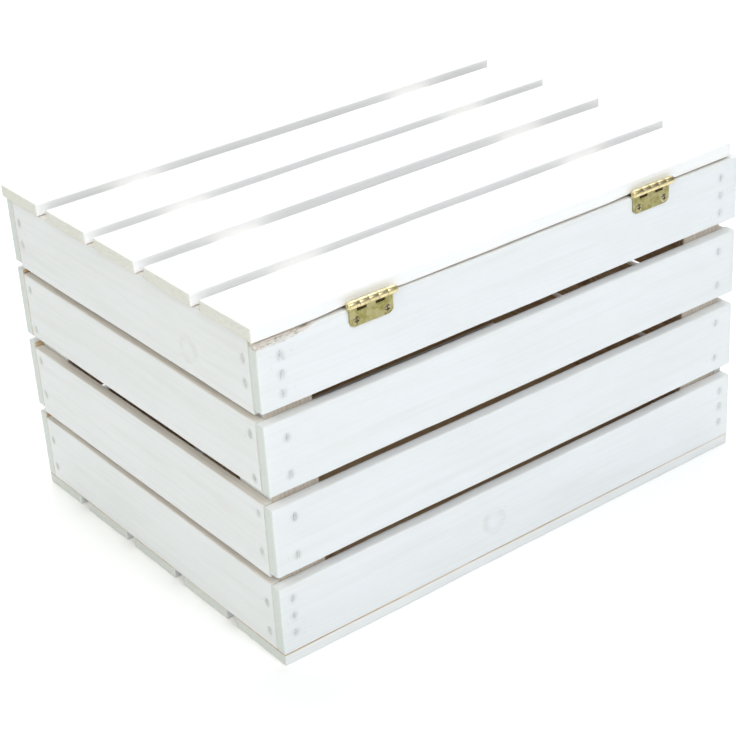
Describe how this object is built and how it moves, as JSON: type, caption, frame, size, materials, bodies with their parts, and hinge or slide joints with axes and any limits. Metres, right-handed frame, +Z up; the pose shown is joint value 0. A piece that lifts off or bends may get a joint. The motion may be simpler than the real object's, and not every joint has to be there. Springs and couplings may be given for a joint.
{
  "type": "storage bench",
  "caption": "Low rectangular storage bench built like a slatted timber crate, with corner posts, spaced side boards and a slatted seat lid that swings up on two rear butt hinges.",
  "frame": {"origin": "middle of the underside of the whole bench's box, on the floor", "axes": "+X along the length to the right as seen from the front, +Y to the hinged rear, +Z up"},
  "size_m": [0.5024, 0.3824, 0.297],
  "materials": {
    "painted_board": "thin white paint on sawn softwood",
    "painted_lid": "white paint on sawn softwood, raw wood at the worn ends",
    "raw_wood": "raw sawn softwood",
    "hinge_brass": "polished stamped brass",
    "screw_brass": "plain brass screws",
    "staple_steel": "galvanised wire, partly painted over"
  },
  "bodies": {
    "chest": {"bottom_slat_1": "painted_board", "bottom_slat_2": "painted_board", "bottom_slat_3": "painted_board", "bottom_slat_4": "painted_board", "bottom_slat_5": "painted_board", "corner_post_front_left": "raw_wood", "corner_post_front_right": "raw_wood", "corner_post_rear_left": "raw_wood", "corner_post_rear_right": "raw_wood", "front_board_1": "painted_board", "front_board_2": "painted_board", "front_board_3": "painted_board", "front_board_4": "painted_board", "rear_board_1": "painted_board", "rear_board_2": "painted_board", "rear_board_3": "painted_board", "rear_board_4": "painted_board", "left_end_board_1": "painted_board", "left_end_board_2": "painted_board", "left_end_board_3": "painted_board", "left_end_board_4": "painted_board", "right_end_board_1": "painted_board", "right_end_board_2": "painted_board", "right_end_board_3": "painted_board", "right_end_board_4": "painted_board", "hinge_left_box_leaf": "hinge_brass", "hinge_left_pin": "hinge_brass", "hinge_left_box_screws": "screw_brass", "hinge_right_box_leaf": "hinge_brass", "hinge_right_pin": "hinge_brass", "hinge_right_box_screws": "screw_brass", "staples_rear": "staple_steel", "staples_front": "staple_steel", "staples_left_end": "staple_steel", "staples_right_end": "staple_steel", "staples_bottom": "staple_steel"},
    "lid": {"lid_slat_1": "painted_lid", "lid_slat_2": "painted_lid", "lid_slat_3": "painted_lid", "lid_slat_4": "painted_lid", "lid_slat_5": "painted_lid", "lid_batten_left": "painted_lid", "lid_batten_right": "painted_lid", "hinge_left_lid_leaf": "hinge_brass", "hinge_left_lid_screws": "screw_brass", "hinge_right_lid_leaf": "hinge_brass", "hinge_right_lid_screws": "screw_brass", "staples_lid": "staple_steel"}
  },
  "joints": [
    {"name": "lid_hinge", "type": "hinge", "parent": "chest", "child": "lid", "pos_m": [0, 0.188, 0.2876], "axis": [-1, 0, 0], "range_deg": [0, 200]}
  ]
}
